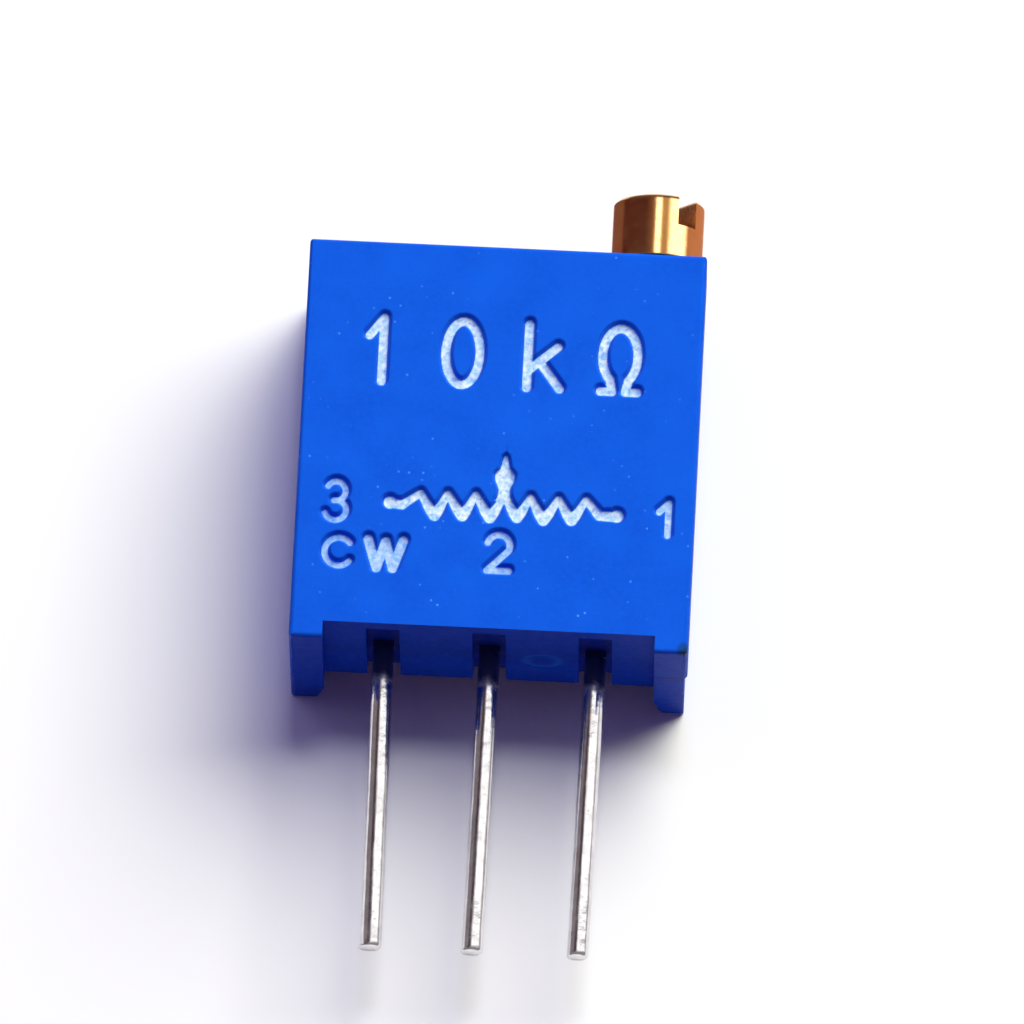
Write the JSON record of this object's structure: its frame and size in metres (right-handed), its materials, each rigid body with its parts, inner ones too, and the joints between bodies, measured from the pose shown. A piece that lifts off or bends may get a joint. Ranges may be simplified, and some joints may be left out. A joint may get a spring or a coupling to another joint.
{
  "type": "trimmer potentiometer",
  "caption": "Square multi-turn trimmer potentiometer with a slotted adjusting screw on top, a worm-driven wiper inside and round in-line pins below.",
  "frame": {"origin": "where the middle pin's axis crosses the seating plane of the feet", "axes": "+X along the row of pins towards the screw's side, +Y along the adjusting screw towards its head, +Z out of the front face; the part lies on its back rim"},
  "size_m": [0.0096, 0.0186, 0.0048],
  "materials": {
    "housing_plastic": "moulded, satin",
    "screw_brass": "turned, bright",
    "seal_rubber": "matte",
    "dowel_steel": "ground",
    "wheel_plastic": "moulded, natural",
    "wiper_metal": "stamped spring sheet",
    "plate_ceramic": "fired, unglazed",
    "track_ink": "printed and fired",
    "printed_silver": "printed and fired",
    "pin_tin": "tinned, drawn",
    "solder_tin": "solidified bead",
    "compound_epoxy": "poured and cured"
  },
  "bodies": {
    "housing": {"housing": "housing_plastic", "screw_retainer": "dowel_steel", "ceramic_plate": "plate_ceramic", "resistive_track": "track_ink", "collector": "printed_silver", "end_conductor_1": "printed_silver", "end_conductor_3": "printed_silver", "pin_1": "pin_tin", "pin_2": "pin_tin", "pin_3": "pin_tin", "solder_1": "solder_tin", "solder_2": "solder_tin", "solder_3": "solder_tin", "sealing_compound": "compound_epoxy"},
    "screw": {"adjusting_screw": "screw_brass", "shaft_seal": "seal_rubber"},
    "wheel": {"worm_wheel": "wheel_plastic", "wiper": "wiper_metal"}
  },
  "joints": [
    {"name": "screw_turn", "type": "hinge", "parent": "housing", "child": "screw", "pos_m": [0.00354, 0.005, 0.00114], "axis": [0, 1, 0], "range_deg": [-4500, 4500]},
    {"name": "wheel_turn", "type": "hinge", "parent": "housing", "child": "wheel", "pos_m": [0, 0.00522, 0.00114], "axis": [0, 0, 1], "range_deg": [-125, 125]}
  ],
  "couplings": [
    {"joint": "wheel_turn", "follows": "screw_turn", "ratio": -0.027778}
  ]
}
